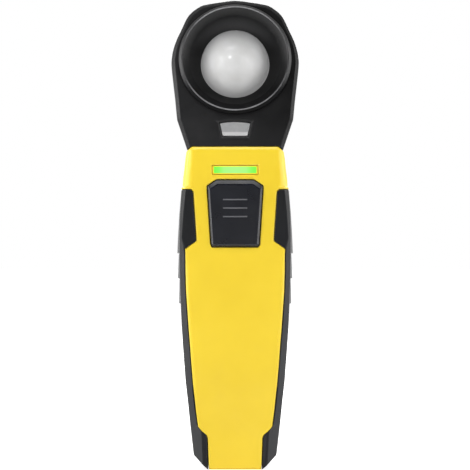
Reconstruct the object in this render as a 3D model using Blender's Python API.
"""Hand-held light meter: a tapering handle, and a tilted head with a measuring dome.

Every handle piece is drawn in plan: x to the right, y up the handle from its flat end, and z the level above the
plane of its back. The handle's frame then stands it upright, front towards -Y. The head's frame is drawn the same
way, with y running up the tilted face from the crease and z standing out of that face.
"""

import math

import bmesh
import bpy
from mathutils import Vector

# Fits, in metres as every length here
GAP = 0.0003
OVERRUN = 0.0010

# Handle outside
HANDLE_LENGTH = 0.1295
GRIP_WIDTH = 0.0469
HANDLE_DEPTH = 0.0300
PARTING_LEVEL = 0.0165
BASE_WIDTH = 0.0217
BASE_CORNER_SLOPE = 0.93
SEAM_FLAT_WIDTH = 0.0346
SEAM_DIP_SLOPE = 0.87
FACET_SLOPE = 1.3
SHOULDER_DROP = 0.4

# One row a station: height, then flat edge, shoulder, facet edge and side as shares of half the grip's width,
# then front and back as shares of the depth
HANDLE_SHARES = (
    (-0.0154, 0.554, 0.017, 0.680, 0.691, 0.900, 0.060),
    (0.0093, 0.556, 0.017, 0.689, 0.699, 0.953, 0.000),
    (0.1174, 0.584, 0.017, 0.759, 0.770, 0.967, 0.000),
    (0.1436, 0.665, 0.060, 0.774, 0.785, 0.973, 0.000),
    (0.2085, 0.716, 0.085, 0.810, 0.821, 0.987, 0.000),
    (0.2703, 0.750, 0.098, 0.849, 0.861, 0.997, 0.000),
    (0.3336, 0.780, 0.098, 0.876, 0.887, 1.000, 0.000),
    (0.3961, 0.804, 0.098, 0.900, 0.913, 1.000, 0.000),
    (0.4595, 0.829, 0.098, 0.919, 0.932, 1.000, 0.000),
    (0.5174, 0.849, 0.098, 0.932, 0.947, 1.000, 0.000),
    (0.5946, 0.870, 0.098, 0.945, 0.964, 1.000, 0.000),
    (0.6699, 0.887, 0.094, 0.951, 0.974, 1.000, 0.000),
    (0.6988, 0.900, 0.034, 0.951, 0.972, 1.000, 0.000),
    (0.7181, 0.917, 0.017, 0.951, 0.970, 1.000, 0.000),
    (0.7954, 0.891, 0.017, 0.940, 0.955, 1.000, 0.000),
    (0.8340, 0.870, 0.017, 0.928, 0.942, 1.000, 0.033),
    (0.8741, 0.844, 0.017, 0.910, 0.928, 1.000, 0.087),
    (0.8772, 0.836, 0.102, 0.893, 0.910, 1.000, 0.092),
    (0.9035, 0.827, 0.107, 0.885, 0.902, 1.000, 0.140),
    (0.9344, 0.812, 0.107, 0.864, 0.878, 1.000, 0.200),
    (0.9653, 0.800, 0.107, 0.849, 0.861, 1.000, 0.263),
    (0.9915, 0.785, 0.107, 0.825, 0.836, 1.000, 0.310),
    (1.0000, 0.776, 0.107, 0.812, 0.823, 0.980, 0.327),
    (1.0193, 0.759, 0.107, 0.789, 0.802, 0.933, 0.360),
)
SIDE_LEVEL_SHARE = 0.18
BACK_CORNER_SHARES = ((0.000, 0.80), (0.030, 0.40), (0.077, 0.15), (0.145, 0.03), (0.188, 0.00))

# Handle walls and cavity
SIDE_WALL = 0.0020
FRONT_WALL = 0.0030
BACK_WALL = 0.0022
BASE_WALL = 0.0022

# Side grips
GRIP_TOP_SHARE = 0.8672
GRIP_BACK_LEVEL = 0.0035
PANEL_DEPTH = 0.0014
RIB_COUNT = 3
RIB_PITCH = 0.0102
FIRST_RIB_END_SHARE = 0.6699
RIB_RISE = 0.0006
RIB_STEP = 0.0002
# Inner edge of the grip, from the flat end up: height share, and share of half the grip's width
RAIL_SHARES = (
    (-0.0232, 0.458), (0.0973, 0.480), (0.1081, 0.499), (0.1205, 0.580), (0.1344, 0.644), (0.1807, 0.678),
    (0.2178, 0.699), (0.2734, 0.733), (0.3290, 0.759), (0.3846, 0.780), (0.4402, 0.806), (0.4958, 0.827),
    (0.5514, 0.849), (0.6070, 0.857), (0.6726, 0.861), (0.6865, 0.866), (0.7096, 0.857), (0.8672, 0.819),
    (1.0000, 0.806), (1.0350, 0.806),
)
PANEL_SHARES = ((0.8672, 0.763), (0.8633, 0.729), (0.8579, 0.721), (0.7168, 0.670), (0.7076, 0.674), (0.6777, 0.924))

# Power button
BUTTON_DROP = 0.01335
BUTTON_TRAVEL_ROOM = 0.0008
BUTTON_LENGTH = 0.02675
BUTTON_WIDTH = 0.0221
BUTTON_RISE = 0.0012
BUTTON_CHAMFER = 0.0009
BUTTON_TOP_FACET = 0.0009
BUTTON_FLANGE = 0.0008
BUTTON_FLANGE_THICKNESS = 0.0011
# The button's outline from its lower edge up: height share of its length, and share of half its width
BUTTON_SHARES = ((0.000, 0.830), (0.036, 0.872), (0.870, 1.000), (0.913, 0.995), (1.000, 0.670))
RIDGE_COUNT = 3
RIDGE_PITCH = 0.0034
RIDGE_DROP = 0.00785
RIDGE_LENGTH = 0.0096
RIDGE_WIDTH = 0.0005
RIDGE_RISE = 0.0003
STEM_RADIUS = 0.0018

# Light bar
LIGHT_MARGIN = 0.0006
LIGHT_HEIGHT = 0.0032
LIGHT_SPACE = 0.00245
LIGHT_RECESS = 0.0001
LIGHT_FLANGE = 0.0006

# Main board and what is on it
BOARD_LENGTH = 0.0662
BOARD_DROP = 0.0063
BOARD_SHOULDER_DROP = 0.0018
BOARD_MARGIN = 0.0023
BOARD_NECK_MARGIN = 0.0004
BOARD_THICKNESS = 0.0016
BOARD_ROOM = 0.0059
BOARD_SCREW_INSET = 0.0021
BOARD_SCREW_RISE = 0.0035
BOARD_SCREW_DROP = 0.0046
BOARD_BOSS_RADIUS = 0.0020
SWITCH_SIZE = 0.0070
SWITCH_HEIGHT = 0.0022
SWITCH_DROP = 0.01315
SWITCH_FLOOR = 0.0007
PLUNGER_RADIUS = 0.0017
LED_COUNT = 3
LED_PITCH_SHARE = 0.3056
LED_SIZE = (0.0030, 0.0014, 0.0008)
CONTROLLER_SIZE = (0.0090, 0.0090, 0.0012)
CONTROLLER_DROP = 0.0332
RADIO_SIZE = (0.0120, 0.0160, 0.0022)
RADIO_OFFSET = 0.0040
RADIO_SPACE = 0.0045
CRYSTAL_SIZE = (0.0032, 0.0025, 0.0009)
CRYSTAL_OFFSET = 0.0085
COIL_SIZE = (0.0050, 0.0050, 0.0026)
COIL_OFFSET = 0.0090
COIL_SPACE = 0.0110
BOARD_CONNECTOR_SIZE = (0.0140, 0.0040, 0.0018)
BOARD_CONNECTOR_DROP = 0.0020

# Batteries, their bay and the cover over it
CELL_RADIUS = 0.00515
CELL_LENGTH = 0.0445
CELL_NUB_RADIUS = 0.0019
CELL_NUB_LENGTH = 0.0010
CELL_COUNT = 3
CELL_PITCH = 0.0106
BAY_MIDDLE_SHARE = 0.5537
BAY_WALL = 0.0016
SPRING_LENGTH = 0.0026
SPRING_WIRE_RADIUS = 0.00025
SPRING_RADIUS = 0.0034
SPRING_TIP_RADIUS = 0.0022
SPRING_TURNS = 2.25
CONTACT_THICKNESS = 0.0004
CONTACT_WIDTH = 0.0076
TAB_WIDTH = 0.0022
TAB_RISE = 0.0014
LEAD_RADIUS = 0.0006
COVER_THICKNESS = 0.0020
COVER_LEDGE = 0.0035
COVER_WIDTH = 0.0322
COVER_CORNER = 0.0030
COVER_SHOULDER = 0.0020
HINGE_DROP = 0.0045
HINGE_RADIUS = 0.0013
HINGE_WIDTH = 0.0240
PIN_RADIUS = 0.0007
PIN_LENGTH = 0.0012
PAD_THICKNESS = 0.0008
PAD_SHARE = 0.70
LEDGE_LEVEL = 0.0042
NOTCH_WIDTH = 0.0100
NOTCH_HEIGHT = 0.0030
NOTCH_DEPTH = 0.0011

# Head outside
NECK_LENGTH = 0.01233
NECK_STEP = 0.0008
HEAD_RISE = 0.0485
HEAD_WIDTH = 0.05134
HEAD_THICKNESS = 0.0185
HEAD_TILT = math.radians(10.0)
HEAD_CHAMFER = 0.0014
HEAD_PARTING = 0.0090
HEAD_WALL = 0.0020
# Neck rows take the neck's length, head rows the head's rise; both take half the head's width
NECK_SHARES = ((-1.62, 0.666), (-0.13, 0.9065))
HEAD_SHARES = (
    (0.000, 0.9135), (0.128, 0.936), (0.295, 0.973), (0.427, 0.999), (0.489, 1.000), (0.573, 0.976), (0.660, 0.923),
    (0.738, 0.856), (0.819, 0.789), (0.876, 0.7265), (0.928, 0.616), (0.961, 0.498), (0.986, 0.234), (1.000, 0.000),
)

# Measuring dome and collar, about an axis that stands on the tilted face
DOME_UP = 0.0234
DOME_RADIUS = 0.0137
DOME_WALL = 0.0015
DOME_SINK = 0.0072
DOME_SKIRT = 0.0020
FLANGE_RADIUS = 0.0160
FLANGE_THICKNESS = 0.0011
RIM_MARGIN = 0.00427
RIM_FLARE = 0.0015
RIM_RISE = 0.0022
RIM_WIDTH = 0.0027
LIP_DROP = 0.0003
COLLAR_WALL = 0.0012
COLLAR_FOOT = 0.0007
SEAL_THICKNESS = 0.0007
BAFFLE_THICKNESS = 0.0024
BAFFLE_RADIUS = 0.0145
BAFFLE_HOLE_RADIUS = 0.0042
FILTER_RADIUS = 0.0050
FILTER_THICKNESS = 0.0008
DIODE_SIZE = (0.0050, 0.0050, 0.0009)
SENSOR_BOARD_WIDTH = 0.0270
SENSOR_BOARD_THICKNESS = 0.0012
SENSOR_TONGUE_WIDTH = 0.0130
SENSOR_TONGUE_DROP = 0.0072
SENSOR_SCREW_OFFSET = 0.0117
SENSOR_CONNECTOR_SIZE = (0.0120, 0.0040, 0.0015)
SENSOR_CONNECTOR_DROP = 0.0062

# Window in the neck
WINDOW_TOP_DROP = 0.0024
WINDOW_HEIGHT = 0.0055
WINDOW_TOP_WIDTH = 0.0121
WINDOW_LOW_WIDTH = 0.0099
WINDOW_ARCH = 0.0006
WINDOW_SINK = 0.0006
BEZEL_WIDTH = 0.0013
WINDOW_FLANGE = 0.0007
WINDOW_PEG_SIZE = (0.0050, 0.0026)
WINDOW_LED_SIZE = (0.0028, 0.0014, 0.0008)

# Ribbon cable
RIBBON_WIDTH = 0.0100
RIBBON_THICKNESS = 0.0004
RIBBON_STEPS = 8

# Screws: head radius, head height, shank radius
CASE_SCREW = (0.0021, 0.0013, 0.0011)
SMALL_SCREW = (0.0016, 0.0011, 0.0008)
SCREW_RECESS_SHARE = 0.5
SCREW_TIP_SHARE = 0.8
CASE_BOSS_RADIUS = 0.0026
CASE_SCREW_BITE = 0.0065
CASE_SCREW_LOW = (0.0064, 0.0080)
CASE_SCREW_INSET = 0.0024
CASE_SCREW_DROP = 0.0045
LOW_SEAT_LEVEL = 0.0080
HIGH_SEAT_LEVEL = 0.0103
EAR_THICKNESS = 0.0030
EAR_DROP = 0.0130
EAR_MARGIN = 0.0004
EAR_WIDTH = 0.0066
EAR_ROOT = 0.0040
HEAD_BOSS_RADIUS = 0.0021
CUP_RADIUS = 0.0034
CUP_WALL = 0.0014
HEAD_SCREW_HIGH_SHARES = (0.6116, 0.7876)
HEAD_SCREW_LOW_SHARES = (0.6428, -0.5028)
HEAD_SEAT_DEPTH = 0.0022
HEAD_SCREW_LENGTH = 0.0125

# Roundness
DOME_SEGMENTS = 40
DOME_RINGS = 8
BOSS_SEGMENTS = 16
SCREW_SEGMENTS = 12
CELL_SEGMENTS = 20

# Worked out from the sizes above
GRIP_TOP = GRIP_TOP_SHARE * HANDLE_LENGTH
FIRST_RIB_END = FIRST_RIB_END_SHARE * HANDLE_LENGTH
SEAM_ROOM = RAIL_SHARES[-1][1] * GRIP_WIDTH / 2 - GAP - SIDE_WALL
EAR_OUTER_X = SEAM_ROOM - EAR_MARGIN
EAR_INNER_X = EAR_OUTER_X - EAR_WIDTH
CASE_SCREW_HIGH = (EAR_OUTER_X - CASE_SCREW_INSET, HANDLE_LENGTH - CASE_SCREW_DROP)
BOARD_WIDTH = 2 * (SEAM_ROOM - BOARD_MARGIN)
BOARD_NECK_WIDTH = 2 * (CASE_SCREW_HIGH[0] - CASE_BOSS_RADIUS - BOARD_NECK_MARGIN)
BOARD_SCREW_X = BOARD_WIDTH / 2 - BOARD_SCREW_INSET
LIGHT_WIDTH = 2 * (BOARD_SCREW_X - BOARD_BOSS_RADIUS - LIGHT_FLANGE - LIGHT_MARGIN)
LED_PITCH = LED_PITCH_SHARE * LIGHT_WIDTH
BUTTON_TOP = HANDLE_LENGTH - BUTTON_DROP
LIGHT_LOW = BUTTON_TOP + LIGHT_SPACE
BOARD_HIGH = HANDLE_LENGTH - BOARD_DROP
BOARD_LOW = BOARD_HIGH - BOARD_LENGTH
BOARD_SHOULDER = BOARD_HIGH - BOARD_SHOULDER_DROP
BOARD_LEVEL = HANDLE_DEPTH - FRONT_WALL - BOARD_ROOM - BOARD_THICKNESS
BOARD_SCREW_LOW = BOARD_LOW + BOARD_SCREW_RISE
BOARD_SCREW_HIGH = BOARD_HIGH - BOARD_SCREW_DROP
BOARD_CONNECTOR_HIGH = BOARD_HIGH - BOARD_CONNECTOR_DROP
SWITCH_PLACE = BUTTON_TOP - SWITCH_DROP
CONTROLLER_PLACE = (0.0, BOARD_HIGH - CONTROLLER_DROP)
CRYSTAL_PLACE = (CRYSTAL_OFFSET, BOARD_HIGH - CONTROLLER_DROP)
RADIO_PLACE = (-RADIO_OFFSET, CONTROLLER_PLACE[1] - (CONTROLLER_SIZE[1] + RADIO_SIZE[1]) / 2 - RADIO_SPACE)
COIL_PLACE = (COIL_OFFSET, CONTROLLER_PLACE[1] - (CONTROLLER_SIZE[1] + COIL_SIZE[1]) / 2 - COIL_SPACE)
EAR_LOW = HANDLE_LENGTH - EAR_DROP
RIM_RADIUS = HEAD_WIDTH / 2 - RIM_MARGIN
COLLAR_RADIUS = RIM_RADIUS + RIM_FLARE
LIP_RADIUS = RIM_RADIUS - RIM_WIDTH
HEAD_SCREW_HIGH = (HEAD_SCREW_HIGH_SHARES[0] * HEAD_WIDTH / 2, HEAD_SCREW_HIGH_SHARES[1] * HEAD_RISE)
HEAD_SCREW_LOW = (HEAD_SCREW_LOW_SHARES[0] * HEAD_WIDTH / 2, HEAD_SCREW_LOW_SHARES[1] * NECK_LENGTH)
CREASE_HEIGHT = HANDLE_LENGTH + NECK_LENGTH
CREASE_LEVEL = HANDLE_DEPTH - NECK_STEP
COLLAR_FRONT = (
    CREASE_LEVEL + RIM_RISE * math.cos(HEAD_TILT) - (DOME_UP - RIM_RADIUS) * math.sin(HEAD_TILT)
)
DOME_FRONT = (
    CREASE_LEVEL - DOME_SINK * math.cos(HEAD_TILT) - DOME_UP * math.sin(HEAD_TILT) + DOME_RADIUS
)
BUTTON_FRONT = HANDLE_DEPTH + BUTTON_RISE
FRONT_MOST = max(BUTTON_FRONT + RIDGE_RISE, COLLAR_FRONT, DOME_FRONT)
BUTTON_LOW = BUTTON_TOP - BUTTON_LENGTH
FLANGE_TOP = HANDLE_DEPTH - FRONT_WALL - GAP
FLANGE_LOW = FLANGE_TOP - BUTTON_FLANGE_THICKNESS
BOARD_TOP = BOARD_LEVEL + BOARD_THICKNESS
SWITCH_TOP = BOARD_TOP + GAP + SWITCH_HEIGHT
BAY_LENGTH = CELL_LENGTH + SPRING_LENGTH + 2 * CONTACT_THICKNESS + 5 * GAP
BAY_LOW = BAY_MIDDLE_SHARE * HANDLE_LENGTH - BAY_LENGTH / 2
BAY_HIGH = BAY_LOW + BAY_LENGTH
BAY_WIDTH = (CELL_COUNT - 1) * CELL_PITCH + 2 * (CELL_RADIUS + GAP)
CELL_LEVEL = COVER_THICKNESS + PAD_THICKNESS + 2 * GAP + CELL_RADIUS
BAY_ROOF = CELL_LEVEL + CELL_RADIUS + GAP
BAY_TOP = BAY_ROOF + BAY_WALL
COVER_LOW = BAY_LOW - COVER_LEDGE
COVER_HIGH = BAY_HIGH + COVER_SHOULDER
HINGE_HEIGHT = COVER_HIGH + HINGE_DROP
COLLAR_BOTTOM = -DOME_SINK - COLLAR_FOOT
FLANGE_CEILING = COLLAR_BOTTOM - SEAL_THICKNESS - 2 * GAP
DOME_BOTTOM = FLANGE_CEILING - FLANGE_THICKNESS
BAFFLE_TOP = DOME_BOTTOM - GAP
BAFFLE_BOTTOM = BAFFLE_TOP - BAFFLE_THICKNESS
SENSOR_BOARD_TOP = BAFFLE_BOTTOM - GAP
SENSOR_BOARD_BOTTOM = SENSOR_BOARD_TOP - SENSOR_BOARD_THICKNESS
HEAD_FLOOR = HEAD_WALL - HEAD_THICKNESS
EAR_LEVEL = CREASE_LEVEL + HEAD_FLOOR - GAP + OVERRUN / 10
EAR_TOP = EAR_LEVEL + EAR_THICKNESS
CASE_SCREW_REACH = EAR_TOP + CASE_SCREW_BITE
FAR = GRIP_WIDTH

FINISHES = {
    "yellow_plastic": ((0.905, 0.640, 0.028), 0.42, 0.0),
    "black_plastic": ((0.021, 0.021, 0.022), 0.48, 0.0),
    "black_rubber": ((0.012, 0.014, 0.020), 0.62, 0.0),
    "diffuser_plastic": ((0.800, 0.800, 0.790), 0.35, 0.0),
    "green_light_guide": ((0.210, 1.000, 0.230), 0.30, 0.0),
    "frosted_window": ((0.400, 0.400, 0.410), 0.45, 0.0),
    "circuit_board": ((0.020, 0.190, 0.070), 0.45, 0.0),
    "chip_plastic": ((0.018, 0.018, 0.020), 0.50, 0.0),
    "connector_plastic": ((0.720, 0.690, 0.600), 0.50, 0.0),
    "plated_steel": ((0.560, 0.560, 0.550), 0.30, 1.0),
    "black_steel": ((0.045, 0.045, 0.047), 0.40, 1.0),
    "shield_steel": ((0.620, 0.620, 0.600), 0.35, 1.0),
    "cell_jacket": ((0.060, 0.130, 0.330), 0.35, 0.2),
    "foam": ((0.030, 0.030, 0.032), 0.95, 0.0),
    "silicone": ((0.150, 0.150, 0.155), 0.70, 0.0),
    "filter_glass": ((0.250, 0.520, 0.420), 0.05, 0.0),
    "ribbon_film": ((0.700, 0.680, 0.620), 0.40, 0.0),
    "red_wire": ((0.560, 0.020, 0.018), 0.45, 0.0),
    "black_wire": ((0.014, 0.014, 0.014), 0.45, 0.0),
}


def clear_scene():
    for item in list(bpy.data.objects):
        bpy.data.objects.remove(item, do_unlink=True)


def finish_material(name):
    """The Principled material of that finish, made once."""
    if name in bpy.data.materials:
        return bpy.data.materials[name]
    colour, roughness, metallic = FINISHES[name]
    material = bpy.data.materials.new(name)
    material.use_nodes = True
    shader = material.node_tree.nodes["Principled BSDF"]
    shader.inputs["Base Color"].default_value = (*colour, 1.0)
    shader.inputs["Roughness"].default_value = roughness
    shader.inputs["Metallic"].default_value = metallic
    material.diffuse_color = (*colour, 1.0)
    return material


def empty(name, location, parent=None, turn=(0.0, 0.0, 0.0)):
    holder = bpy.data.objects.new(name, None)
    holder.location = location
    holder.rotation_euler = turn
    holder.parent = parent
    bpy.context.scene.collection.objects.link(holder)
    return holder


def add_object(name, bm, frame, finish, location=(0.0, 0.0, 0.0), turn=(0.0, 0.0, 0.0)):
    """Puts the mesh in the scene under its frame. With no finish it is a tool that only cuts or joins."""
    bmesh.ops.recalc_face_normals(bm, faces=bm.faces)
    mesh = bpy.data.meshes.new(name)
    bm.to_mesh(mesh)
    bm.free()
    item = bpy.data.objects.new(name, mesh)
    item.parent = frame
    item.location = location
    item.rotation_euler = turn
    bpy.context.scene.collection.objects.link(item)
    if finish:
        mesh.materials.append(finish_material(finish))
    else:
        item.hide_render = True
        item.display_type = "WIRE"
    return item


def boolean(target, operation, *tools):
    for tool in tools:
        modifier = target.modifiers.new(tool.name, "BOOLEAN")
        modifier.operation = operation
        modifier.solver = "EXACT"
        modifier.object = tool
    return target


def mirrored(half):
    """A closed outline from its right half, given from the lowest point up."""
    left = [(-x, y) for x, y in reversed(half) if x > 0]
    return list(half) + left


def offset(outline, distance):
    """The counter-clockwise outline with each edge moved out by distance, or in where it is negative."""
    count = len(outline)
    moved = []
    for i in range(count):
        before = Vector(outline[i - 1])
        here = Vector(outline[i])
        after = Vector(outline[(i + 1) % count])
        one = (here - before).normalized()
        two = (after - here).normalized()
        normal_one = Vector((one.y, -one.x))
        normal_two = Vector((two.y, -two.x))
        mitre = normal_one + normal_two
        moved.append(tuple(here + mitre * (2 * distance / mitre.length_squared)))
    return moved


def add_prism(bm, outline, low, high):
    base = [bm.verts.new((x, y, low)) for x, y in outline]
    face = bm.faces.new(base)
    grown = bmesh.ops.extrude_face_region(bm, geom=[face])
    top = [v for v in grown["geom"] if isinstance(v, bmesh.types.BMVert)]
    bmesh.ops.translate(bm, vec=(0.0, 0.0, high - low), verts=top)


def prism(name, outline, low, high, frame, finish=None, **placing):
    bm = bmesh.new()
    add_prism(bm, outline, low, high)
    return add_object(name, bm, frame, finish, **placing)


def rectangle(x_low, x_high, y_low, y_high):
    return [(x_low, y_low), (x_high, y_low), (x_high, y_high), (x_low, y_high)]


def block(name, x_span, y_span, z_span, frame, finish=None):
    return prism(name, rectangle(*x_span, *y_span), *z_span, frame, finish)


def centred_block(name, size, place, low, frame, finish=None):
    """A box of that size whose middle lies over place and whose bottom is at low."""
    half_x, half_y = size[0] / 2, size[1] / 2
    outline = rectangle(place[0] - half_x, place[0] + half_x, place[1] - half_y, place[1] + half_y)
    return prism(name, outline, low, low + size[2], frame, finish)


def circle(radius, place, segments):
    turns = [2 * math.pi * i / segments for i in range(segments)]
    return [(place[0] + radius * math.cos(a), place[1] + radius * math.sin(a)) for a in turns]


def posts(name, radius, places, low, high, frame, segments=BOSS_SEGMENTS):
    """Upright round posts at each place, as one tool."""
    bm = bmesh.new()
    for place in places:
        add_prism(bm, circle(radius, place, segments), low, high)
    return add_object(name, bm, frame, None)


def skin(bm, rings):
    """Rows of vertices on rings of equally many points, joined by triangles, because the quads needn't be flat."""
    rows = [[bm.verts.new(point) for point in ring] for ring in rings]
    count = len(rows[0])
    for one, two in zip(rows, rows[1:]):
        for i in range(count):
            j = (i + 1) % count
            bm.faces.new((one[i], one[j], two[j], two[i]))
    bmesh.ops.triangulate(bm, faces=bm.faces)
    return rows


def loft(name, rings, frame, finish=None):
    """A closed skin over rings of equally many points, with flat ends."""
    bm = bmesh.new()
    rows = skin(bm, rings)
    bm.faces.new(rows[0])
    bm.faces.new(rows[-1])
    return add_object(name, bm, frame, finish)


def turned(name, profile, frame, finish=None, segments=BOSS_SEGMENTS, **placing):
    """A solid of revolution about z, from a closed profile of radius and height."""
    bm = bmesh.new()
    verts = [bm.verts.new((radius, 0.0, height)) for radius, height in profile]
    edges = [bm.edges.new(pair) for pair in zip(verts, verts[1:])]
    if profile[0][0] > 0 or profile[-1][0] > 0:
        edges.append(bm.edges.new((verts[-1], verts[0])))
    bmesh.ops.spin(
        bm, geom=verts + edges, cent=(0, 0, 0), axis=(0, 0, 1), angle=2 * math.pi, steps=segments, use_merge=True
    )
    bmesh.ops.remove_doubles(bm, verts=bm.verts, dist=GAP / 1000)
    item = add_object(name, bm, frame, finish, **placing)
    item.data.shade_smooth()
    item.data.set_sharp_from_angle(angle=math.radians(35.0))
    return item


def arc(radius, centre_height, steps, inwards=False):
    """Points of a quarter circle from its pole on the axis out to its equator, or back."""
    points = []
    for i in range(steps + 1):
        angle = math.pi / 2 * i / steps
        across = radius * math.sin(angle) if i else 0.0
        points.append((across, centre_height + radius * math.cos(angle)))
    return points[::-1] if inwards else points


def between(rows, height):
    """The row of shares at that height, read from straight lines between the rows."""
    for one, two in zip(rows, rows[1:]):
        if height <= two[0]:
            share = (height - one[0]) / (two[0] - one[0])
            return [a + (b - a) * share for a, b in zip(one[1:], two[1:])]
    return list(rows[-1][1:])


def rail(height):
    """Half width of the grips' inner edge at that height."""
    return between(RAIL_SHARES, height / HANDLE_LENGTH)[0] * GRIP_WIDTH / 2


def front_level(height):
    return between(HANDLE_SHARES, height / HANDLE_LENGTH)[4] * HANDLE_DEPTH


def back_level(height):
    return between(HANDLE_SHARES, height / HANDLE_LENGTH)[5] * HANDLE_DEPTH


def rib_spans():
    """Top and end height of each shingled rib, the first one starting where the grip does."""
    tops = [GRIP_TOP] + [FIRST_RIB_END - i * RIB_PITCH for i in range(RIB_COUNT - 1)]
    return [(top, FIRST_RIB_END - i * RIB_PITCH) for i, top in enumerate(tops)]


def rib_rise(height):
    for top, end in rib_spans():
        if end <= height < top:
            return RIB_RISE * (top - height) / (top - end)
    return 0.0


def handle_ring(height):
    """The handle's outline across its length: flat front, shoulder, facet, ribbed side and rounded back corner."""
    half = GRIP_WIDTH / 2
    flat, shoulder, facet, side = (s * half for s in between(HANDLE_SHARES, height / HANDLE_LENGTH)[:4])
    front, back = front_level(height), back_level(height)
    drop = SHOULDER_DROP * shoulder
    ribbed = side + rib_rise(height)
    right = [
        (flat - shoulder, front),
        (flat - shoulder / 2, front - drop / 4),
        (flat, front - drop),
        (facet, front - drop - FACET_SLOPE * (facet - flat)),
        (ribbed, PARTING_LEVEL + SIDE_LEVEL_SHARE * PARTING_LEVEL),
    ]
    for inset_share, rise_share in BACK_CORNER_SHARES:
        outer = ribbed if inset_share == 0 else side
        right.append((outer - inset_share * half, back + rise_share * (PARTING_LEVEL - back)))
    left = [(-x, z) for x, z in reversed(right)]
    return [Vector((x, height, z)) for x, z in right + left]


def handle_envelope(name, finish=None):
    """The handle's whole outside, longer than the handle at both ends."""
    steps = [height for _, end in rib_spans() for height in (end - RIB_STEP, end)]
    stations = [row[0] * HANDLE_LENGTH for row in HANDLE_SHARES]
    clear = [h for h in stations if all(abs(h - step) > RIB_STEP / 2 for step in steps)]
    return loft(name, [handle_ring(h) for h in sorted(clear + steps)], frames["handle"], finish)


def handle_plan():
    """Plan outline that squares off the flat end, cuts its corners and runs the seam under the head."""
    base, seam = BASE_WIDTH / 2, SEAM_FLAT_WIDTH / 2
    half = [
        (base, 0.0),
        (FAR, (FAR - base) * BASE_CORNER_SLOPE),
        (FAR, HANDLE_LENGTH - (FAR - seam) * SEAM_DIP_SLOPE),
        (seam, HANDLE_LENGTH),
    ]
    return mirrored(half)


def head_plan():
    """Plan outline of all that lies above the seam."""
    seam, low = SEAM_FLAT_WIDTH / 2, HANDLE_LENGTH + GAP
    half = [(seam, low), (FAR, low - (FAR - seam) * SEAM_DIP_SLOPE), (FAR, low + NECK_LENGTH + HEAD_RISE + OVERRUN)]
    return mirrored(half)


def grip_zone(name, side, grow):
    """The room of one grip: the rail along the handle's side and the shallow panel on its front."""
    frame = frames["handle"]
    top = GRIP_TOP + grow
    edge = [(share * HANDLE_LENGTH, width * GRIP_WIDTH / 2 - grow) for share, width in RAIL_SHARES]
    edge = [(y, x) for y, x in edge if y < GRIP_TOP - GAP]
    outline = [(side * x, y) for y, x in edge]
    outline += [(side * (rail(GRIP_TOP) - grow), top), (side * FAR, top), (side * FAR, edge[0][0])]
    if side < 0:
        outline.reverse()
    zone = prism(name, outline, GRIP_BACK_LEVEL - grow, HANDLE_DEPTH + OVERRUN, frame)
    panel = [(side * (width * GRIP_WIDTH / 2 - grow), share * HANDLE_LENGTH) for share, width in PANEL_SHARES]
    panel[0] = (panel[0][0], top)
    panel[-1] = (panel[-1][0], panel[-1][1] - grow)
    panel += [(side * FAR, panel[-1][1] - OVERRUN), (side * FAR, top)]
    if side > 0:
        panel.reverse()
    front = prism(name + "_panel", panel, HANDLE_DEPTH - PANEL_DEPTH - grow, HANDLE_DEPTH + OVERRUN, frame)
    return boolean(zone, "UNION", front)


def channel(name, heights, inset, low, high):
    """A box-shaped channel along the handle that follows the grips' inner edge, inset from it."""
    rings = []
    for height in heights:
        half = rail(height - SIDE_WALL / 2) - inset
        bottom, top = low(height), high(height)
        rings.append([(-half, height, bottom), (half, height, bottom), (half, height, top), (-half, height, top)])
    return loft(name, rings, frames["handle"])


def handle_cavity():
    lowest, highest = BASE_WALL, HANDLE_LENGTH + OVERRUN
    heights = {row[0] * HANDLE_LENGTH + SIDE_WALL / 2 for row in RAIL_SHARES}
    heights |= {row[0] * HANDLE_LENGTH for row in HANDLE_SHARES if row[6] > 0}
    inside = sorted(h for h in heights if lowest + OVERRUN < h < highest - OVERRUN)
    return channel(
        "handle_cavity",
        [lowest, *inside, highest],
        GAP + SIDE_WALL,
        lambda h: back_level(h) + BACK_WALL,
        lambda h: front_level(min(h, HANDLE_LENGTH * HANDLE_SHARES[-3][0])) - FRONT_WALL,
    )


def both_sides(place):
    return [(-place[0], place[1]), place]


def button_outline():
    half = [(BUTTON_WIDTH / 2 * x, BUTTON_LOW + BUTTON_LENGTH * y) for y, x in BUTTON_SHARES]
    return mirrored(half)


def screw(name, sizes, length, place, seat, frame, finish, drive=1):
    """A pan-head screw whose head lies on the seat; drive is 1 where its tip points up z, and -1 where it points down."""
    head, height, shank = sizes
    recess = head * SCREW_RECESS_SHARE
    profile = [
        (0.0, -height + recess / 2),
        (recess, -height),
        (head - height / 4, -height),
        (head, -height * 3 / 4),
        (head, 0.0),
        (shank, 0.0),
        (shank, length * SCREW_TIP_SHARE),
        (0.0, length),
    ]
    profile = [(radius, drive * z) for radius, z in profile]
    item = turned(name, profile, frame, finish, SCREW_SEGMENTS)
    item.location = (*place, seat)
    return item


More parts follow.
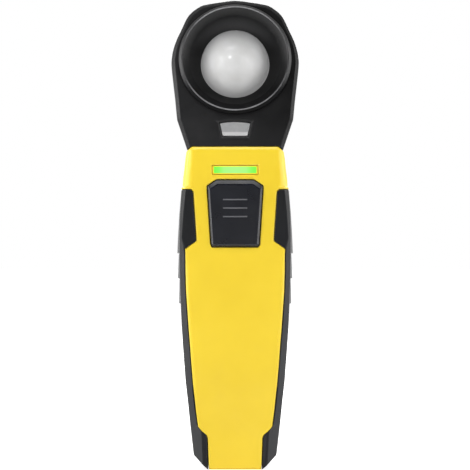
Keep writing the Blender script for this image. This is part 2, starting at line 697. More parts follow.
def make_handle():
    """Front and rear shell and the two grips, cut from one outside."""
    frame = frames["handle"]
    plan = prism("handle_plan", handle_plan(), -OVERRUN, HANDLE_DEPTH + OVERRUN, frame)
    cavity = handle_cavity()
    rooms = [grip_zone("left_grip_room", -1, GAP), grip_zone("right_grip_room", 1, GAP)]
    for side, name in ((-1, "left_grip"), (1, "right_grip")):
        grip = handle_envelope(name, "black_rubber")
        boolean(grip, "INTERSECT", plan, grip_zone(name + "_zone", side, 0.0))

    front = handle_envelope("front_shell", "yellow_plastic")
    front_half = block(
        "front_half", (-FAR, FAR), (-FAR, HANDLE_LENGTH + FAR), (PARTING_LEVEL + GAP / 2, HANDLE_DEPTH + FAR), frame
    )
    boolean(front, "INTERSECT", plan, front_half)
    boolean(front, "DIFFERENCE", *rooms, cavity)
    wall_inside = HANDLE_DEPTH - FRONT_WALL
    low_inside = front_level(CASE_SCREW_LOW[1]) - FRONT_WALL
    low_posts = posts(
        "front_low_bosses",
        CASE_BOSS_RADIUS,
        both_sides(CASE_SCREW_LOW),
        PARTING_LEVEL + GAP / 2,
        low_inside + FRONT_WALL / 2,
        frame,
    )
    high_posts = posts(
        "front_high_bosses",
        CASE_BOSS_RADIUS,
        both_sides(CASE_SCREW_HIGH),
        EAR_TOP + GAP,
        wall_inside + FRONT_WALL / 2,
        frame,
    )
    board_posts = posts(
        "board_bosses",
        BOARD_BOSS_RADIUS,
        board_screw_places(),
        BOARD_TOP + GAP,
        wall_inside + FRONT_WALL / 2,
        frame,
    )
    boolean(front, "UNION", low_posts, high_posts, board_posts)
    case_holes = posts(
        "front_case_holes",
        CASE_SCREW[2] + GAP,
        both_sides(CASE_SCREW_LOW) + both_sides(CASE_SCREW_HIGH),
        min(EAR_TOP, PARTING_LEVEL) - OVERRUN,
        CASE_SCREW_REACH + OVERRUN,
        frame,
        SCREW_SEGMENTS,
    )
    board_holes = posts(
        "front_board_holes",
        SMALL_SCREW[2] + GAP,
        board_screw_places(),
        BOARD_TOP,
        wall_inside - GAP,
        frame,
        SCREW_SEGMENTS,
    )
    button_hole = prism(
        "button_opening", offset(button_outline(), GAP), FLANGE_TOP, HANDLE_DEPTH + OVERRUN, frame
    )
    light_hole = block(
        "light_opening",
        (-LIGHT_WIDTH / 2 - GAP, LIGHT_WIDTH / 2 + GAP),
        (LIGHT_LOW - GAP, LIGHT_LOW + LIGHT_HEIGHT + GAP),
        (FLANGE_TOP, HANDLE_DEPTH + OVERRUN),
        frame,
    )
    boolean(front, "DIFFERENCE", case_holes, board_holes, button_hole, light_hole)

    rear = handle_envelope("rear_shell", "black_plastic")
    rear_half = block(
        "rear_half", (-FAR, FAR), (-FAR, HANDLE_LENGTH + FAR), (-FAR, PARTING_LEVEL - GAP / 2), frame
    )
    boolean(rear, "INTERSECT", plan, rear_half)
    boolean(rear, "DIFFERENCE", *rooms, cavity)
    make_bay(rear)


def span_heights(low, high):
    """Heights from low to high, with the rail's own bends between them."""
    bends = [row[0] * HANDLE_LENGTH + SIDE_WALL / 2 for row in RAIL_SHARES]
    return [low, *(h for h in bends if low + OVERRUN < h < high - OVERRUN), high]


def make_bay(rear):
    """The rear shell's battery bay, the ledge for its cover, and its bosses and holes."""
    frame = frames["handle"]
    wall_middle = GAP + SIDE_WALL / 2
    bay_block = channel(
        "bay_block",
        span_heights(BAY_LOW - BAY_WALL, BAY_HIGH + BAY_WALL),
        wall_middle,
        lambda h: BACK_WALL / 2,
        lambda h: BAY_TOP,
    )
    ledge_block = channel(
        "ledge_block",
        span_heights(COVER_LOW - NOTCH_HEIGHT - BAY_WALL, HINGE_HEIGHT + HINGE_RADIUS + BAY_WALL),
        wall_middle,
        lambda h: BACK_WALL / 2,
        lambda h: LEDGE_LEVEL,
    )
    low_posts = posts(
        "rear_low_bosses",
        CASE_BOSS_RADIUS,
        both_sides(CASE_SCREW_LOW),
        BACK_WALL / 2,
        PARTING_LEVEL - GAP / 2,
        frame,
    )
    high_posts = posts(
        "rear_high_bosses",
        CASE_BOSS_RADIUS,
        both_sides(CASE_SCREW_HIGH),
        back_level(CASE_SCREW_HIGH[1]) + BACK_WALL / 2,
        EAR_LEVEL - GAP,
        frame,
    )
    boolean(rear, "UNION", bay_block, ledge_block, low_posts, high_posts)

    pocket = block(
        "battery_pocket", (-BAY_WIDTH / 2, BAY_WIDTH / 2), (BAY_LOW, BAY_HIGH), (-OVERRUN, BAY_ROOF), frame
    )
    recess = prism(
        "cover_recess", offset(cover_outline(), GAP), -OVERRUN, COVER_THICKNESS + GAP, frame
    )
    hinge_room = cross_rod("hinge_room", HINGE_RADIUS + GAP, HINGE_WIDTH + GAP)
    pin_room = cross_rod("pin_room", PIN_RADIUS + GAP, HINGE_WIDTH + 2 * (PIN_LENGTH + GAP))
    notch = block(
        "finger_notch",
        (-NOTCH_WIDTH / 2, NOTCH_WIDTH / 2),
        (COVER_LOW - NOTCH_HEIGHT, COVER_LOW),
        (-OVERRUN, NOTCH_DEPTH),
        frame,
    )
    low_seats = posts(
        "low_seats", CASE_SCREW[0] + GAP, both_sides(CASE_SCREW_LOW), -OVERRUN, LOW_SEAT_LEVEL, frame
    )
    high_seats = posts(
        "high_seats", CASE_SCREW[0] + GAP, both_sides(CASE_SCREW_HIGH), -OVERRUN, HIGH_SEAT_LEVEL, frame
    )
    holes = posts(
        "rear_case_holes",
        CASE_SCREW[2] + GAP,
        both_sides(CASE_SCREW_LOW) + both_sides(CASE_SCREW_HIGH),
        LOW_SEAT_LEVEL - OVERRUN,
        max(PARTING_LEVEL, EAR_LEVEL) + OVERRUN,
        frame,
        SCREW_SEGMENTS,
    )
    slots = [tab_slot(name, place) for name, place in tab_places().items()]
    boolean(rear, "DIFFERENCE", pocket, recess, hinge_room, pin_room, notch, low_seats, high_seats, holes, *slots)


def cross_rod(name, radius, length):
    """A rod along x on the cover's hinge line."""
    return turned(
        name,
        [(0.0, -length / 2), (radius, -length / 2), (radius, length / 2), (0.0, length / 2)],
        frames["handle"],
        location=(0.0, HINGE_HEIGHT, HINGE_RADIUS),
        turn=(0.0, math.pi / 2, 0.0),
    )


def cover_outline():
    hinge, width = HINGE_WIDTH / 2, COVER_WIDTH / 2
    half = [
        (width - COVER_CORNER, COVER_LOW),
        (width, COVER_LOW + COVER_CORNER),
        (width, COVER_HIGH),
        (hinge, COVER_HIGH),
        (hinge, HINGE_HEIGHT),
    ]
    return mirrored(half)


def make_cover():
    """The battery cover with its round hinge edge and two pins, and the foam pad on its inside."""
    frame = frames["cover"]
    cover = handle_envelope("battery_cover", "black_plastic")
    zone = prism("cover_zone", cover_outline(), -OVERRUN, COVER_THICKNESS, frames["handle"])
    bead = cross_rod("hinge_bead", HINGE_RADIUS, HINGE_WIDTH - GAP)
    pins = cross_rod("hinge_pins", PIN_RADIUS, HINGE_WIDTH + 2 * PIN_LENGTH)
    boolean(cover, "INTERSECT", zone)
    boolean(cover, "UNION", bead, pins)
    middle = (BAY_LOW + BAY_HIGH) / 2
    reach = PAD_SHARE * (BAY_HIGH - BAY_LOW) / 2
    width = PAD_SHARE * BAY_WIDTH / 2
    pad = block(
        "battery_pad",
        (-width, width),
        (middle - reach, middle + reach),
        (COVER_THICKNESS + GAP, COVER_THICKNESS + GAP + PAD_THICKNESS),
        frames["handle"],
        "foam",
    )
    for piece in (cover, pad):
        hang_on(piece, frame)


def hang_on(piece, holder):
    """Parents the piece to an empty on its joint's axis, leaving it where it is."""
    bpy.context.view_layer.update()
    place = piece.matrix_world.copy()
    piece.parent = holder
    piece.matrix_parent_inverse = holder.matrix_world.inverted()
    piece.matrix_world = place


def make_button():
    """The thumb button: chamfered cap, flange behind the wall, stem over the switch, and raised ridges."""
    frame = frames["handle"]
    cap = button_outline()
    wide = offset(cap, BUTTON_FLANGE)
    face = [
        (x, y - BUTTON_TOP_FACET if y > BUTTON_TOP - BUTTON_LENGTH / 3 else y)
        for x, y in offset(cap, -BUTTON_CHAMFER)
    ]
    shoulder = BUTTON_FRONT - BUTTON_CHAMFER
    rings = [
        [(x, y, FLANGE_LOW) for x, y in wide],
        [(x, y, FLANGE_TOP) for x, y in wide],
        [(x, y, FLANGE_TOP) for x, y in cap],
        [(x, y, shoulder) for x, y in cap],
        [(x, y, BUTTON_FRONT) for x, y in face],
    ]
    button = loft("power_button", rings, frame, "black_rubber")
    stem_foot = SWITCH_TOP + BUTTON_TRAVEL_ROOM + GAP
    stem = posts("button_stem", STEM_RADIUS, [(0.0, SWITCH_PLACE)], stem_foot, FLANGE_TOP, frame)
    bars = bmesh.new()
    for i in range(RIDGE_COUNT):
        y = BUTTON_TOP - RIDGE_DROP - i * RIDGE_PITCH
        outline = rectangle(-RIDGE_LENGTH / 2, RIDGE_LENGTH / 2, y - RIDGE_WIDTH / 2, y + RIDGE_WIDTH / 2)
        add_prism(bars, outline, BUTTON_FRONT - RIDGE_RISE, BUTTON_FRONT + RIDGE_RISE)
    ridges = add_object("button_ridges", bars, frame, None)
    boolean(button, "UNION", stem, ridges)
    hang_on(button, frames["button"])


def make_light_guide():
    frame = frames["handle"]
    middle = LIGHT_LOW + LIGHT_HEIGHT / 2
    half = LIGHT_WIDTH / 2
    foot = BOARD_TOP + 2 * GAP + LED_SIZE[2]
    guide = block(
        "light_guide",
        (-half, half),
        (LIGHT_LOW, LIGHT_LOW + LIGHT_HEIGHT),
        (foot, HANDLE_DEPTH - LIGHT_RECESS),
        frame,
        "green_light_guide",
    )
    flange = block(
        "light_flange",
        (-half - LIGHT_FLANGE, half + LIGHT_FLANGE),
        (LIGHT_LOW, LIGHT_LOW + LIGHT_HEIGHT),
        (FLANGE_LOW, FLANGE_TOP),
        frame,
    )
    boolean(guide, "UNION", flange)
    for i in range(LED_COUNT):
        x = (i - (LED_COUNT - 1) / 2) * LED_PITCH
        centred_block(f"status_led_{i + 1}", LED_SIZE, (x, middle), BOARD_TOP + GAP, frame, "connector_plastic")


def board_screw_places():
    return both_sides((BOARD_SCREW_X, BOARD_SCREW_LOW)) + both_sides((BOARD_SCREW_X, BOARD_SCREW_HIGH))


def make_main_board():
    """The main board, screwed to the front shell from behind, and the parts on it."""
    frame = frames["handle"]
    half = [
        (BOARD_WIDTH / 2, BOARD_LOW),
        (BOARD_WIDTH / 2, BOARD_SHOULDER),
        (BOARD_NECK_WIDTH / 2, BOARD_SHOULDER),
        (BOARD_NECK_WIDTH / 2, BOARD_HIGH),
    ]
    board = prism("main_board", mirrored(half), BOARD_LEVEL, BOARD_TOP, frame, "circuit_board")
    holes = posts(
        "board_holes",
        SMALL_SCREW[2] + GAP,
        board_screw_places(),
        BOARD_LEVEL - OVERRUN,
        BOARD_TOP + OVERRUN,
        frame,
        SCREW_SEGMENTS,
    )
    boolean(board, "DIFFERENCE", holes)
    front = BOARD_TOP + GAP
    base = centred_block(
        "switch_base", (SWITCH_SIZE, SWITCH_SIZE, SWITCH_HEIGHT), (0.0, SWITCH_PLACE), front, frame, "chip_plastic"
    )
    bore = posts(
        "switch_bore",
        PLUNGER_RADIUS + GAP,
        [(0.0, SWITCH_PLACE)],
        front + SWITCH_FLOOR,
        SWITCH_TOP + OVERRUN,
        frame,
    )
    boolean(base, "DIFFERENCE", bore)
    foot = front + SWITCH_FLOOR + GAP + BUTTON_TRAVEL_ROOM
    top = SWITCH_TOP + BUTTON_TRAVEL_ROOM
    plunger = turned(
        "switch_plunger",
        [(0.0, foot), (PLUNGER_RADIUS, foot), (PLUNGER_RADIUS, top), (0.0, top)],
        frame,
        "connector_plastic",
    )
    plunger.location = (0.0, SWITCH_PLACE, 0.0)
    hang_on(plunger, frames["button"])
    centred_block("microcontroller", CONTROLLER_SIZE, CONTROLLER_PLACE, front, frame, "chip_plastic")
    centred_block("wireless_module", RADIO_SIZE, RADIO_PLACE, front, frame, "shield_steel")
    centred_block("crystal", CRYSTAL_SIZE, CRYSTAL_PLACE, front, frame, "plated_steel")
    centred_block("inductor", COIL_SIZE, COIL_PLACE, front, frame, "chip_plastic")
    depth = BOARD_CONNECTOR_SIZE[2]
    place = (0.0, BOARD_CONNECTOR_HIGH - BOARD_CONNECTOR_SIZE[1] / 2)
    centred_block(
        "board_connector", BOARD_CONNECTOR_SIZE, place, BOARD_LEVEL - GAP - depth, frame, "connector_plastic"
    )
    length = HANDLE_DEPTH - FRONT_WALL - 2 * GAP - BOARD_LEVEL
    for i, place in enumerate(board_screw_places()):
        screw(f"board_screw_{i + 1}", SMALL_SCREW, length, place, BOARD_LEVEL - GAP, frame, "plated_steel")


def cell_places():
    return [(i - (CELL_COUNT - 1) / 2) * CELL_PITCH for i in range(CELL_COUNT)]


def make_cells():
    """Three cells side by side, turned end for end in turn, each with a spring at its flat end."""
    frame = frames["handle"]
    body = CELL_LENGTH - CELL_NUB_LENGTH
    profile = [
        (0.0, 0.0),
        (CELL_RADIUS, 0.0),
        (CELL_RADIUS, body),
        (CELL_NUB_RADIUS, body),
        (CELL_NUB_RADIUS, CELL_LENGTH),
        (0.0, CELL_LENGTH),
    ]
    low_plate = BAY_LOW + GAP + CONTACT_THICKNESS
    high_plate = BAY_HIGH - GAP - CONTACT_THICKNESS
    for i, x in enumerate(cell_places()):
        upright = i % 2 == 0
        turn = -math.pi / 2 if upright else math.pi / 2
        flat_end = low_plate + SPRING_LENGTH + 2 * GAP if upright else high_plate - SPRING_LENGTH - 2 * GAP
        turned(
            f"battery_{i + 1}",
            profile,
            frame,
            "cell_jacket",
            CELL_SEGMENTS,
            location=(x, flat_end, CELL_LEVEL),
            turn=(turn, 0.0, 0.0),
        )
        plate = low_plate + GAP if upright else high_plate - GAP
        coil_spring(f"battery_spring_{i + 1}", x, plate, 1 if upright else -1)


def coil_spring(name, x, plate, way):
    """A conical coil that stands on its contact plate, from its widest turn to its tip."""
    per_turn = 10
    count = round(SPRING_TURNS * per_turn)
    climb = SPRING_LENGTH - 2 * SPRING_WIRE_RADIUS
    points = []
    for i in range(count + 1):
        share = i / count
        angle = 2 * math.pi * i / per_turn
        radius = SPRING_RADIUS + (SPRING_TIP_RADIUS - SPRING_RADIUS) * share
        height = plate + way * (SPRING_WIRE_RADIUS + climb * share)
        points.append((x + radius * math.cos(angle), height, CELL_LEVEL + radius * math.sin(angle)))
    return wire(name, points, SPRING_WIRE_RADIUS, frames["handle"], "plated_steel")


def wire(name, points, radius, frame, finish):
    curve = bpy.data.curves.new(name, "CURVE")
    curve.dimensions = "3D"
    curve.bevel_depth = radius
    curve.bevel_resolution = 1
    curve.use_fill_caps = True
    spline = curve.splines.new("POLY")
    spline.points.add(len(points) - 1)
    for point, place in zip(spline.points, points):
        point.co = (*place, 1.0)
    curve.materials.append(finish_material(finish))
    item = bpy.data.objects.new(name, curve)
    item.parent = frame
    bpy.context.scene.collection.objects.link(item)
    return item


def tab_places():
    """Middle of each soldering tab: the ends of the battery row."""
    first, last = cell_places()[0], cell_places()[-1]
    return {
        "upper_end_contact": (first, BAY_HIGH - GAP - CONTACT_THICKNESS / 2),
        "lower_end_contact": (last, BAY_LOW + GAP + CONTACT_THICKNESS / 2),
    }


def tab_slot(name, place):
    half = TAB_WIDTH / 2 + GAP
    deep = CONTACT_THICKNESS / 2 + GAP
    return block(
        name + "_slot",
        (place[0] - half, place[0] + half),
        (place[1] - deep, place[1] + deep),
        (BAY_ROOF - GAP, BAY_TOP + OVERRUN),
        frames["handle"],
    )


def make_contacts():
    """Two end contacts with soldering tabs, and two that bridge neighbouring cells."""
    frame = frames["handle"]
    places = cell_places()
    low = CELL_LEVEL - CELL_RADIUS + GAP
    high = BAY_ROOF - GAP
    half = CONTACT_WIDTH / 2
    tabs = tab_places()
    spans = {
        "upper_end_contact": (places[0], places[0]),
        "upper_bridge_contact": (places[1], places[-1]),
        "lower_end_contact": (places[-1], places[-1]),
        "lower_bridge_contact": (places[0], places[1]),
    }
    for name, (first, last) in spans.items():
        edge = BAY_HIGH - GAP - CONTACT_THICKNESS if name.startswith("upper") else BAY_LOW + GAP
        plate = block(
            name, (first - half, last + half), (edge, edge + CONTACT_THICKNESS), (low, high), frame, "plated_steel"
        )
        if name in tabs:
            tab = block(
                name + "_tab",
                (first - TAB_WIDTH / 2, first + TAB_WIDTH / 2),
                (edge, edge + CONTACT_THICKNESS),
                (high - GAP, BAY_TOP + TAB_RISE),
                frame,
            )
            boolean(plate, "UNION", tab)
    make_lead("battery_lead_red", tabs["upper_end_contact"], -1, "red_wire")
    make_lead("battery_lead_black", tabs["lower_end_contact"], 1, "black_wire")


def make_lead(name, tab, way, finish):
    """A short wire from the tab's face along the bay's roof and up to the back of the main board."""
    start = tab[1] + way * (CONTACT_THICKNESS / 2 + GAP)
    level = BAY_TOP + GAP + LEAD_RADIUS
    end = BOARD_LEVEL - GAP
    rise = end - level
    run = max(way * (BOARD_LOW - start), 0.0) + 4 * rise
    points = []
    steps = 8
    for i in range(steps + 1):
        share = i / steps
        climb = share * share * share
        points.append((tab[0], start + way * run * math.sin(share * math.pi / 2), level + rise * climb))
    points[-1] = (points[-1][0], points[-2][1] + way * GAP, end)
    return wire(name, points, LEAD_RADIUS, frames["handle"], finish)


def make_case_screws():
    frame = frames["handle"]
    count = 0
    for place, seat in ((CASE_SCREW_LOW, LOW_SEAT_LEVEL), (CASE_SCREW_HIGH, HIGH_SEAT_LEVEL)):
        for spot in both_sides(place):
            count += 1
            seated = seat - GAP
            screw(f"case_screw_{count}", CASE_SCREW, CASE_SCREW_REACH - seated, spot, seated, frame, "black_steel")


def bend(x, up, out):
    """A point of the neck or of the tilted head, in the handle's frame: up from the crease, out of the face."""
    if up > 0:
        height = CREASE_HEIGHT + up * math.cos(HEAD_TILT) + out * math.sin(HEAD_TILT)
        level = CREASE_LEVEL + out * math.cos(HEAD_TILT) - up * math.sin(HEAD_TILT)
    elif up < 0:
        height, level = CREASE_HEIGHT + up, CREASE_LEVEL + out
    else:
        height, level = CREASE_HEIGHT + out * math.tan(HEAD_TILT / 2), CREASE_LEVEL + out
    return (x, height, level)


def head_outline(inset):
    """Plan outline of neck and head, from the neck's open end up the right side and down the left."""
    half = [(w * HEAD_WIDTH / 2, up * NECK_LENGTH) for up, w in NECK_SHARES]
    half += [(w * HEAD_WIDTH / 2, up * HEAD_RISE) for up, w in HEAD_SHARES]
    outline = offset(mirrored(half), -inset)
    crease = len(NECK_SHARES)
    for i in (crease, len(outline) - 1 - crease):
        outline[i] = (outline[i][0], 0.0)
    return outline


def bent_plate(name, layers, finish):
    """A skin over layers of the head's outline, given as inset and height out of the face, bent at the crease.

    The layers run over the outside from the face, round the edge and up the inside, so that the plate is hollow.
    """
    bm = bmesh.new()
    rows = skin(bm, [[bend(x, up, out) for x, up in head_outline(inset)] for inset, out in layers])
    right = len(NECK_SHARES)
    left = len(rows[0]) - 1 - right
    for row in (rows[0], rows[-1]):
        bm.faces.new(row[right : left + 1])
        bm.faces.new(row[left:] + row[: right + 1])
    return add_object(name, bm, frames["handle"], finish)


def make_head():
    """Front and rear moulding of the head, with bosses, ears for the handle, and the openings."""
    frame, face = frames["handle"], frames["head"]
    plan = prism("head_plan", head_plan(), -FAR, HANDLE_DEPTH + FAR, frame)
    dome_place = (0.0, DOME_UP)
    half_gap = GAP / 2

    front = bent_plate(
        "head_front",
        [
            (HEAD_CHAMFER, 0.0),
            (0.0, -HEAD_CHAMFER),
            (0.0, -HEAD_PARTING + half_gap),
            (HEAD_WALL, -HEAD_PARTING + half_gap),
            (HEAD_WALL, -HEAD_WALL),
        ],
        "black_plastic",
    )
    boolean(front, "INTERSECT", plan)
    high = both_sides(HEAD_SCREW_HIGH)
    low = [(x, CREASE_HEIGHT + up) for x, up in both_sides(HEAD_SCREW_LOW)]
    high_front = posts(
        "head_front_high_bosses", HEAD_BOSS_RADIUS, high, -HEAD_PARTING + half_gap, -HEAD_WALL / 2, face
    )
    low_front = posts(
        "head_front_low_bosses",
        HEAD_BOSS_RADIUS,
        low,
        CREASE_LEVEL - HEAD_PARTING + half_gap,
        CREASE_LEVEL - HEAD_WALL / 2,
        frame,
    )
    boolean(front, "UNION", high_front, low_front)
    tip = HEAD_SEAT_DEPTH + HEAD_SCREW_LENGTH - HEAD_THICKNESS
    shank = CASE_SCREW[2] + GAP
    high_holes = posts("head_high_holes", shank, high, -HEAD_THICKNESS, tip + GAP, face, SCREW_SEGMENTS)
    low_holes = posts(
        "head_low_holes",
        shank,
        low,
        CREASE_LEVEL - HEAD_THICKNESS,
        CREASE_LEVEL + tip + GAP,
        frame,
        SCREW_SEGMENTS,
    )
    well = posts("collar_well", collar_bore() + GAP, [dome_place], -HEAD_WALL - OVERRUN, OVERRUN, face, DOME_SEGMENTS)
    opening = prism(
        "window_opening", offset(window_outline(), GAP), CREASE_LEVEL - FRONT_WALL, CREASE_LEVEL + OVERRUN, frame
    )
    inner = offset(window_outline(), GAP)
    outer = offset(inner, BEZEL_WIDTH)
    past = offset(inner, BEZEL_WIDTH * 2)
    bezel = loft(
        "window_bezel",
        [
            [(x, y, CREASE_LEVEL - WINDOW_SINK) for x, y in inner],
            [(x, y, CREASE_LEVEL) for x, y in outer],
            [(x, y, CREASE_LEVEL + WINDOW_SINK) for x, y in past],
        ],
        frame,
    )
    boolean(front, "DIFFERENCE", high_holes, low_holes, well, opening, bezel)

    rear = bent_plate(
        "head_rear",
        [
            (HEAD_WALL, HEAD_FLOOR),
            (HEAD_WALL, -HEAD_PARTING - half_gap),
            (0.0, -HEAD_PARTING - half_gap),
            (0.0, HEAD_CHAMFER - HEAD_THICKNESS),
            (HEAD_CHAMFER, -HEAD_THICKNESS),
        ],
        "black_plastic",
    )
    boolean(rear, "INTERSECT", plan)
    floor_middle = HEAD_WALL / 2 - HEAD_THICKNESS
    high_rear = posts("head_rear_high_bosses", HEAD_BOSS_RADIUS, high, floor_middle, -HEAD_PARTING - half_gap, face)
    cup_top = HEAD_SEAT_DEPTH + CUP_WALL - HEAD_THICKNESS
    high_cups = posts("head_high_cups", CUP_RADIUS, high, floor_middle, cup_top, face)
    low_cups = posts("head_low_cups", CUP_RADIUS, low, CREASE_LEVEL + floor_middle, CREASE_LEVEL + cup_top, frame)
    low_rear = posts(
        "head_rear_low_bosses",
        HEAD_BOSS_RADIUS,
        low,
        CREASE_LEVEL + floor_middle,
        CREASE_LEVEL - HEAD_PARTING - half_gap,
        frame,
    )
    sensor_posts = posts(
        "sensor_bosses", HEAD_BOSS_RADIUS, sensor_post_places(), floor_middle, SENSOR_BOARD_BOTTOM - GAP, face
    )
    ears = bmesh.new()
    neck_low = HANDLE_LENGTH + 2 * GAP
    for side in (-1, 1):
        x_span = sorted((side * EAR_INNER_X, side * EAR_OUTER_X))
        add_prism(ears, rectangle(*x_span, EAR_LOW, neck_low + EAR_ROOT), EAR_LEVEL, EAR_TOP)
    ears = add_object("ears", ears, frame, None)
    boolean(rear, "UNION", high_cups, low_cups, high_rear, low_rear, sensor_posts, ears)
    seats = CASE_SCREW[0] + GAP
    high_seats = posts(
        "head_high_seats", seats, high, -HEAD_THICKNESS - OVERRUN, HEAD_SEAT_DEPTH - HEAD_THICKNESS, face
    )
    low_seats = posts(
        "head_low_seats",
        seats,
        low,
        CREASE_LEVEL - HEAD_THICKNESS - OVERRUN,
        CREASE_LEVEL + HEAD_SEAT_DEPTH - HEAD_THICKNESS,
        frame,
    )
    sensor_holes = posts(
        "sensor_holes",
        SMALL_SCREW[2] + GAP,
        sensor_screw_places(),
        HEAD_WALL / 2 - HEAD_THICKNESS,
        SENSOR_BOARD_BOTTOM,
        face,
        SCREW_SEGMENTS,
    )
    ear_holes = posts(
        "ear_holes",
        CASE_SCREW[2] + GAP,
        both_sides(CASE_SCREW_HIGH),
        EAR_LEVEL - OVERRUN,
        EAR_TOP + OVERRUN,
        frame,
        SCREW_SEGMENTS,
    )
    boolean(rear, "DIFFERENCE", high_seats, low_seats, high_holes, low_holes, sensor_holes, ear_holes)
    make_head_screws(high, low)


def make_head_screws(high, low):
    seat = HEAD_SEAT_DEPTH - HEAD_THICKNESS - GAP
    for i, place in enumerate(high + low):
        tilted = place in high
        frame = frames["head"] if tilted else frames["handle"]
        level = seat if tilted else CREASE_LEVEL + seat
        screw(f"head_screw_{i + 1}", CASE_SCREW, HEAD_SCREW_LENGTH, place, level, frame, "black_steel")


def collar_bore():
    """Radius of the collar's cone where it passes the head's face."""
    return LIP_RADIUS + COLLAR_WALL


def make_sensor():
    """Collar, dome, seal, baffle, filter and photodiode in their order behind the face, on the sensor board."""
    frame = frames["head"]
    place = (0.0, DOME_UP, 0.0)
    throat = DOME_RADIUS + GAP
    edge = (COLLAR_RADIUS - RIM_RADIUS) / 3
    collar = [
        (COLLAR_RADIUS, GAP),
        (COLLAR_RADIUS - edge / 2, RIM_RISE / 2),
        (RIM_RADIUS + edge, RIM_RISE - edge / 2),
        (RIM_RADIUS, RIM_RISE),
        (RIM_RADIUS - edge, RIM_RISE - edge / 3),
        ((RIM_RADIUS + LIP_RADIUS) / 2, (RIM_RISE - LIP_DROP) / 2),
        (LIP_RADIUS, -LIP_DROP),
        (throat, -DOME_SINK),
        (throat, COLLAR_BOTTOM),
        (FLANGE_RADIUS, COLLAR_BOTTOM),
        (FLANGE_RADIUS, COLLAR_BOTTOM + COLLAR_FOOT),
        (collar_bore(), -LIP_DROP - COLLAR_FOOT),
        (collar_bore(), GAP),
    ]
    turned("sensor_collar", collar, frame, "black_plastic", DOME_SEGMENTS, location=place)
    inner = DOME_RADIUS - DOME_WALL
    dome = arc(DOME_RADIUS, -DOME_SINK, DOME_RINGS)
    dome += [
        (DOME_RADIUS, FLANGE_CEILING),
        (FLANGE_RADIUS, FLANGE_CEILING),
        (FLANGE_RADIUS, DOME_BOTTOM),
        (inner, DOME_BOTTOM),
    ]
    dome += arc(inner, -DOME_SINK, DOME_RINGS - 2, inwards=True)
    turned("dome_diffuser", dome, frame, "diffuser_plastic", DOME_SEGMENTS, location=place)
    seal_high = COLLAR_BOTTOM - GAP
    seal = [
        (throat, seal_high - SEAL_THICKNESS),
        (FLANGE_RADIUS, seal_high - SEAL_THICKNESS),
        (FLANGE_RADIUS, seal_high),
        (throat, seal_high),
    ]
    turned("dome_seal", seal, frame, "silicone", DOME_SEGMENTS, location=place)
    step = BAFFLE_TOP - FILTER_THICKNESS - GAP
    baffle = [
        (BAFFLE_HOLE_RADIUS, BAFFLE_BOTTOM),
        (BAFFLE_RADIUS, BAFFLE_BOTTOM),
        (BAFFLE_RADIUS, BAFFLE_TOP),
        (FILTER_RADIUS + GAP, BAFFLE_TOP),
        (FILTER_RADIUS + GAP, step),
        (BAFFLE_HOLE_RADIUS, step),
    ]
    turned("light_baffle", baffle, frame, "black_plastic", CELL_SEGMENTS, location=place)
    glass = [(0.0, step + GAP), (FILTER_RADIUS, step + GAP), (FILTER_RADIUS, BAFFLE_TOP), (0.0, BAFFLE_TOP)]
    turned("filter_glass", glass, frame, "filter_glass", CELL_SEGMENTS, location=place)
    centred_block("photodiode", DIODE_SIZE, (0.0, DOME_UP), SENSOR_BOARD_TOP + GAP, frame, "chip_plastic")
    make_sensor_board()


def sensor_post_places():
    near, far = -SENSOR_SCREW_OFFSET, SENSOR_SCREW_OFFSET
    return [(x, DOME_UP + y) for x in (near, far) for y in (near, far)]


def sensor_screw_places():
    """Two corners across from each other; the other two posts only carry the board."""
    places = sensor_post_places()
    return [places[1], places[2]]


def make_sensor_board():
    """The square sensor board, its tongue down the neck, and the connector, the window's light and the screws."""
    frame = frames["head"]
    wide, narrow = SENSOR_BOARD_WIDTH / 2, SENSOR_TONGUE_WIDTH / 2
    half = [
        (narrow, -SENSOR_TONGUE_DROP),
        (narrow, DOME_UP - wide),
        (wide, DOME_UP - wide),
        (wide, DOME_UP + wide),
    ]
    board = prism("sensor_board", mirrored(half), SENSOR_BOARD_BOTTOM, SENSOR_BOARD_TOP, frame, "circuit_board")
    holes = posts(
        "sensor_board_holes",
        SMALL_SCREW[2] + GAP,
        sensor_screw_places(),
        SENSOR_BOARD_BOTTOM - OVERRUN,
        SENSOR_BOARD_TOP + OVERRUN,
        frame,
        SCREW_SEGMENTS,
    )
    boolean(board, "DIFFERENCE", holes)
    length = SENSOR_BOARD_TOP + GAP - (HEAD_WALL / 2 - HEAD_THICKNESS) - GAP
    for i, place in enumerate(sensor_screw_places()):
        screw(
            f"sensor_screw_{i + 1}", SMALL_SCREW, length, place, SENSOR_BOARD_TOP + GAP, frame, "plated_steel", -1
        )
    place = (0.0, SENSOR_CONNECTOR_SIZE[1] / 2 - SENSOR_CONNECTOR_DROP)
    low = SENSOR_BOARD_BOTTOM - GAP - SENSOR_CONNECTOR_SIZE[2]
    centred_block("sensor_connector", SENSOR_CONNECTOR_SIZE, place, low, frame, "connector_plastic")
    centred_block(
        "window_led", WINDOW_LED_SIZE, (0.0, window_led_up()), SENSOR_BOARD_TOP + GAP, frame, "connector_plastic"
    )


def window_middle():
    return CREASE_HEIGHT - WINDOW_TOP_DROP - WINDOW_HEIGHT / 2


def window_led_up():
    """How far up the tilted board the light lies straight behind the window."""
    out = SENSOR_BOARD_TOP + GAP + WINDOW_LED_SIZE[2]
    return (window_middle() - CREASE_HEIGHT - out * math.sin(HEAD_TILT)) / math.cos(HEAD_TILT)


def window_outline():
    high = CREASE_HEIGHT - WINDOW_TOP_DROP
    half = [
        (WINDOW_LOW_WIDTH / 2, high - WINDOW_HEIGHT),
        (WINDOW_TOP_WIDTH / 2, high - WINDOW_ARCH),
        (WINDOW_TOP_WIDTH / 4, high - WINDOW_ARCH / 4),
        (0.0, high),
    ]
    return mirrored(half)


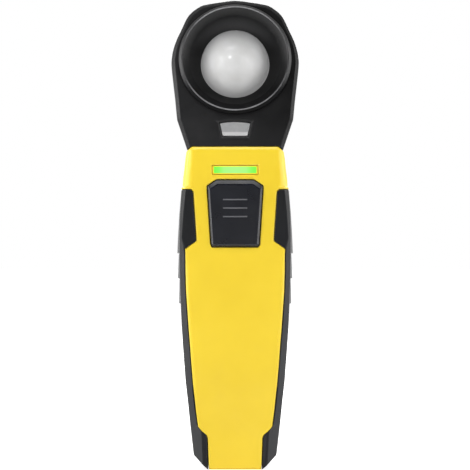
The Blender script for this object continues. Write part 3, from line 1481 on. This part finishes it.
def make_window():
    """The trapezoid window: a plate in the neck's face, a flange behind it and a peg towards its light."""
    frame = frames["handle"]
    outline = window_outline()
    wall_inside = CREASE_LEVEL - HEAD_WALL
    flange_top = wall_inside - GAP
    flange_low = flange_top - WINDOW_FLANGE
    lens = prism("window_lens", outline, flange_low, CREASE_LEVEL - WINDOW_SINK, frame, "frosted_window")
    flange = prism("window_flange", offset(outline, WINDOW_FLANGE), flange_low, flange_top, frame)
    led_front = CREASE_LEVEL + (SENSOR_BOARD_TOP + WINDOW_LED_SIZE[2] + 2 * GAP) * math.cos(HEAD_TILT)
    led_front -= window_led_up() * math.sin(HEAD_TILT)
    peg = block(
        "window_peg",
        (-WINDOW_PEG_SIZE[0] / 2, WINDOW_PEG_SIZE[0] / 2),
        (window_middle() - WINDOW_PEG_SIZE[1] / 2, window_middle() + WINDOW_PEG_SIZE[1] / 2),
        (led_front + GAP, flange_low + GAP),
        frame,
    )
    boolean(lens, "UNION", flange, peg)


def make_ribbon():
    """The flat cable from the sensor board's connector down the neck to the main board's connector."""
    out = SENSOR_BOARD_BOTTOM - GAP - SENSOR_CONNECTOR_SIZE[2] / 2
    start = tilted_point(-SENSOR_CONNECTOR_DROP - GAP, out)
    leave = Vector((-math.cos(HEAD_TILT), math.sin(HEAD_TILT)))
    end = Vector((BOARD_CONNECTOR_HIGH + GAP, BOARD_LEVEL - GAP - BOARD_CONNECTOR_SIZE[2] / 2))
    reach = (start.x - end.x) / 3
    bends = (start, start + leave * reach, end + Vector((reach, 0.0)), end)
    rings = []
    for i in range(RIBBON_STEPS + 1):
        t = i / RIBBON_STEPS
        s = 1 - t
        point = bends[0] * s**3 + bends[1] * (3 * s * s * t) + bends[2] * (3 * s * t * t) + bends[3] * t**3
        slope = (bends[1] - bends[0]) * (s * s) + (bends[2] - bends[1]) * (2 * s * t) + (bends[3] - bends[2]) * (t * t)
        across = Vector((-slope.y, slope.x)).normalized() * RIBBON_THICKNESS / 2
        one, two = point + across, point - across
        half = RIBBON_WIDTH / 2
        rings.append([(-half, one.x, one.y), (half, one.x, one.y), (half, two.x, two.y), (-half, two.x, two.y)])
    loft("ribbon_cable", rings, frames["handle"], "ribbon_film")


def tilted_point(up, out):
    """Height and level, in the handle's frame, of a point of the head's frame."""
    height = CREASE_HEIGHT + up * math.cos(HEAD_TILT) + out * math.sin(HEAD_TILT)
    level = CREASE_LEVEL + out * math.cos(HEAD_TILT) - up * math.sin(HEAD_TILT)
    return Vector((height, level))


clear_scene()
frames = {}
frames["handle"] = empty("handle_frame", (0.0, FRONT_MOST / 2, 0.0), turn=(math.pi / 2, 0.0, 0.0))
frames["head"] = empty("head_frame", (0.0, CREASE_HEIGHT, CREASE_LEVEL), frames["handle"], (-HEAD_TILT, 0.0, 0.0))
frames["button"] = empty("button_axis", (0.0, SWITCH_PLACE, HANDLE_DEPTH), frames["handle"])
frames["cover"] = empty("cover_hinge", (0.0, HINGE_HEIGHT, HINGE_RADIUS), frames["handle"])
bpy.context.view_layer.update()

make_handle()
make_cover()
make_button()
make_light_guide()
make_main_board()
make_cells()
make_contacts()
make_case_screws()
make_head()
make_sensor()
make_window()
make_ribbon()
